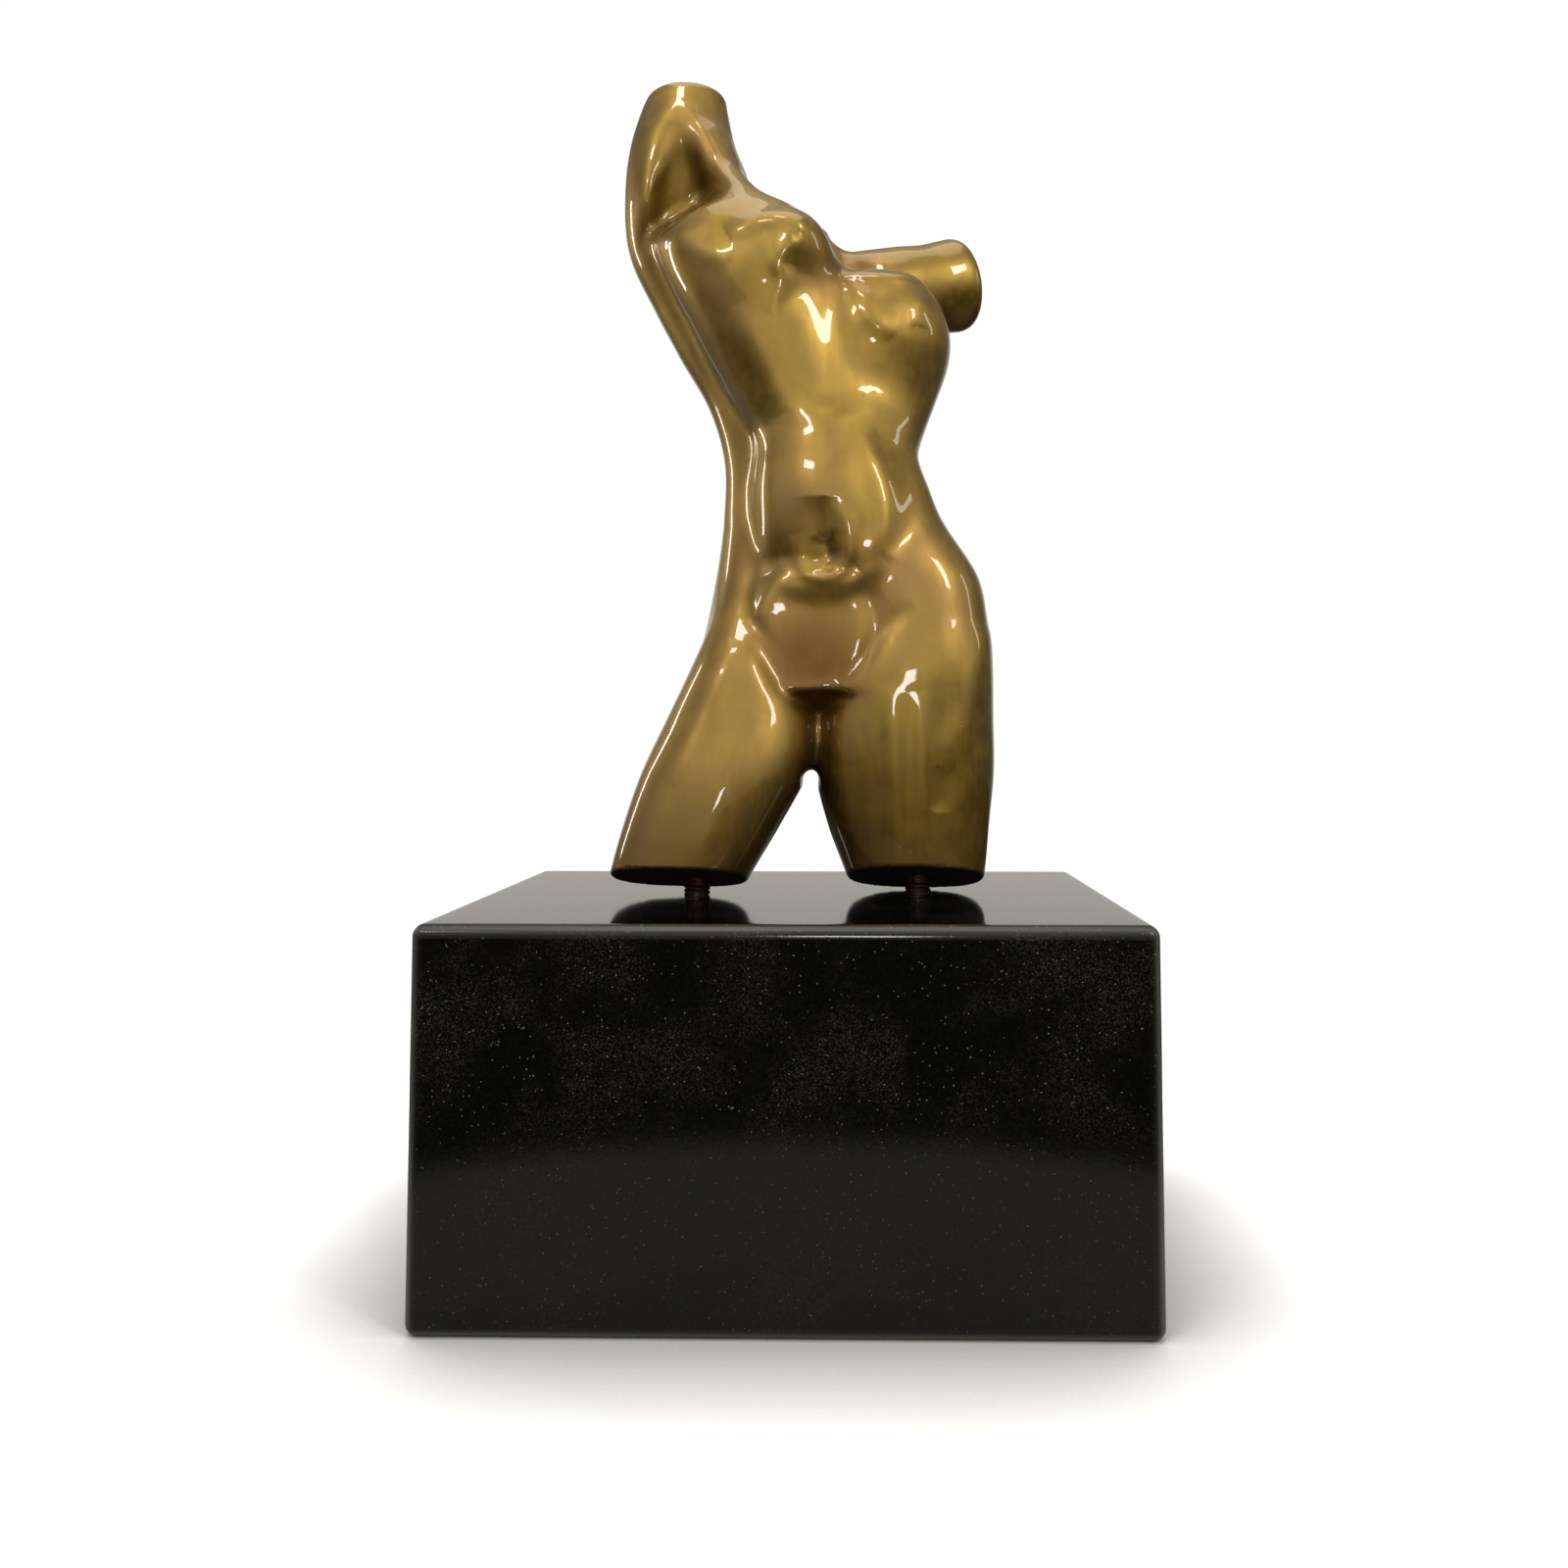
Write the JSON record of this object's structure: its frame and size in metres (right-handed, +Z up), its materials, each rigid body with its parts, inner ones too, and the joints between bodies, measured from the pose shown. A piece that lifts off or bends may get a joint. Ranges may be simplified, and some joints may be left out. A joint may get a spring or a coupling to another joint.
{
  "type": "bronze torso sculpture on granite block",
  "caption": "Headless cast bronze nude torso with one arm raised, cut flat at the thighs and held by two studs above a rounded black granite block.",
  "frame": {"origin": "middle of the granite block's underside", "axes": "+X to the viewer's right, +Y away from the viewer, +Z up"},
  "size_m": [0.19, 0.15, 0.3656],
  "materials": {
    "bronze": "polished and lacquered golden-olive bronze",
    "steel": "darkened threaded steel",
    "granite": "polished black granite with fine pale flecks"
  },
  "bodies": {
    "root": {"torso": "bronze", "stud_left": "steel", "stud_right": "steel", "plinth": "granite"}
  },
  "joints": []
}
